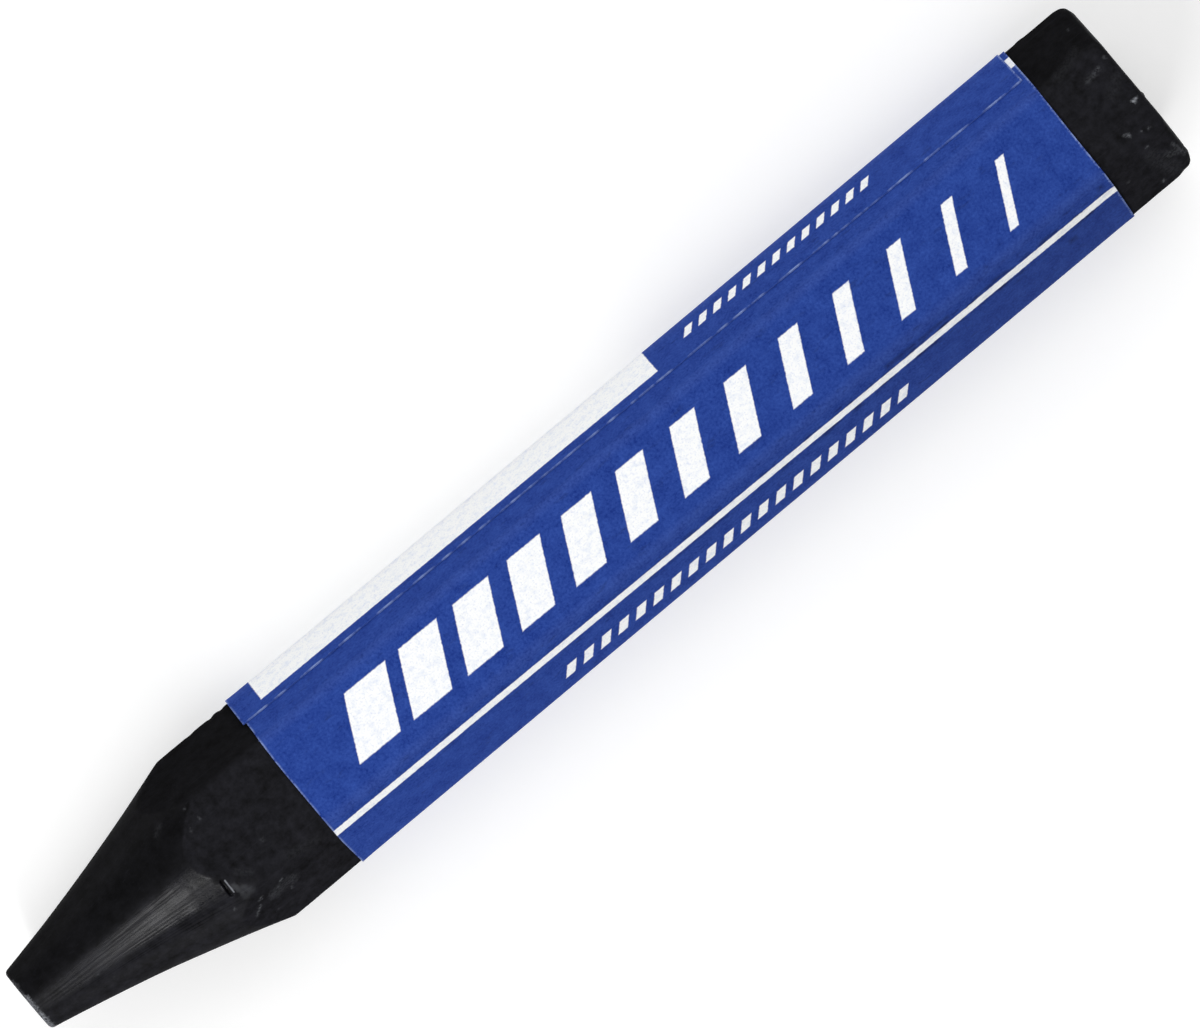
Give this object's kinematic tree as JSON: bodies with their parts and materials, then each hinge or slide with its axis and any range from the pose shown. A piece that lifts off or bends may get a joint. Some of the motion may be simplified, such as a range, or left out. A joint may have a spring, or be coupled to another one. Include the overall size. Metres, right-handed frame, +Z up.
{
  "type": "wax crayon",
  "caption": "Hexagonal wax marking crayon with a tapered round writing tip, a flat butt and a lapped, glued paper wrapper that leaves both ends bare.",
  "frame": {"origin": "On the surface that the crayon lies on, under the middle of its length, where the lowest flat of the wrapper rests.", "axes": "+X along the stick from the writing tip to the butt, +Z up and square to the flat that it lies on, +Y to the side on which the flap of the wrapper ends."},
  "size_m": [0.12, 0.0178, 0.0155],
  "materials": {
    "black_wax": "satin cast wax, scuffed",
    "blue_paper": "uncoated paper printed blue",
    "dried_glue": "matte dried film"
  },
  "bodies": {
    "root": {"wax_stick": "black_wax", "paper_wrapper": "blue_paper", "lap_glue": "dried_glue", "tack_glue": "dried_glue"}
  },
  "joints": []
}
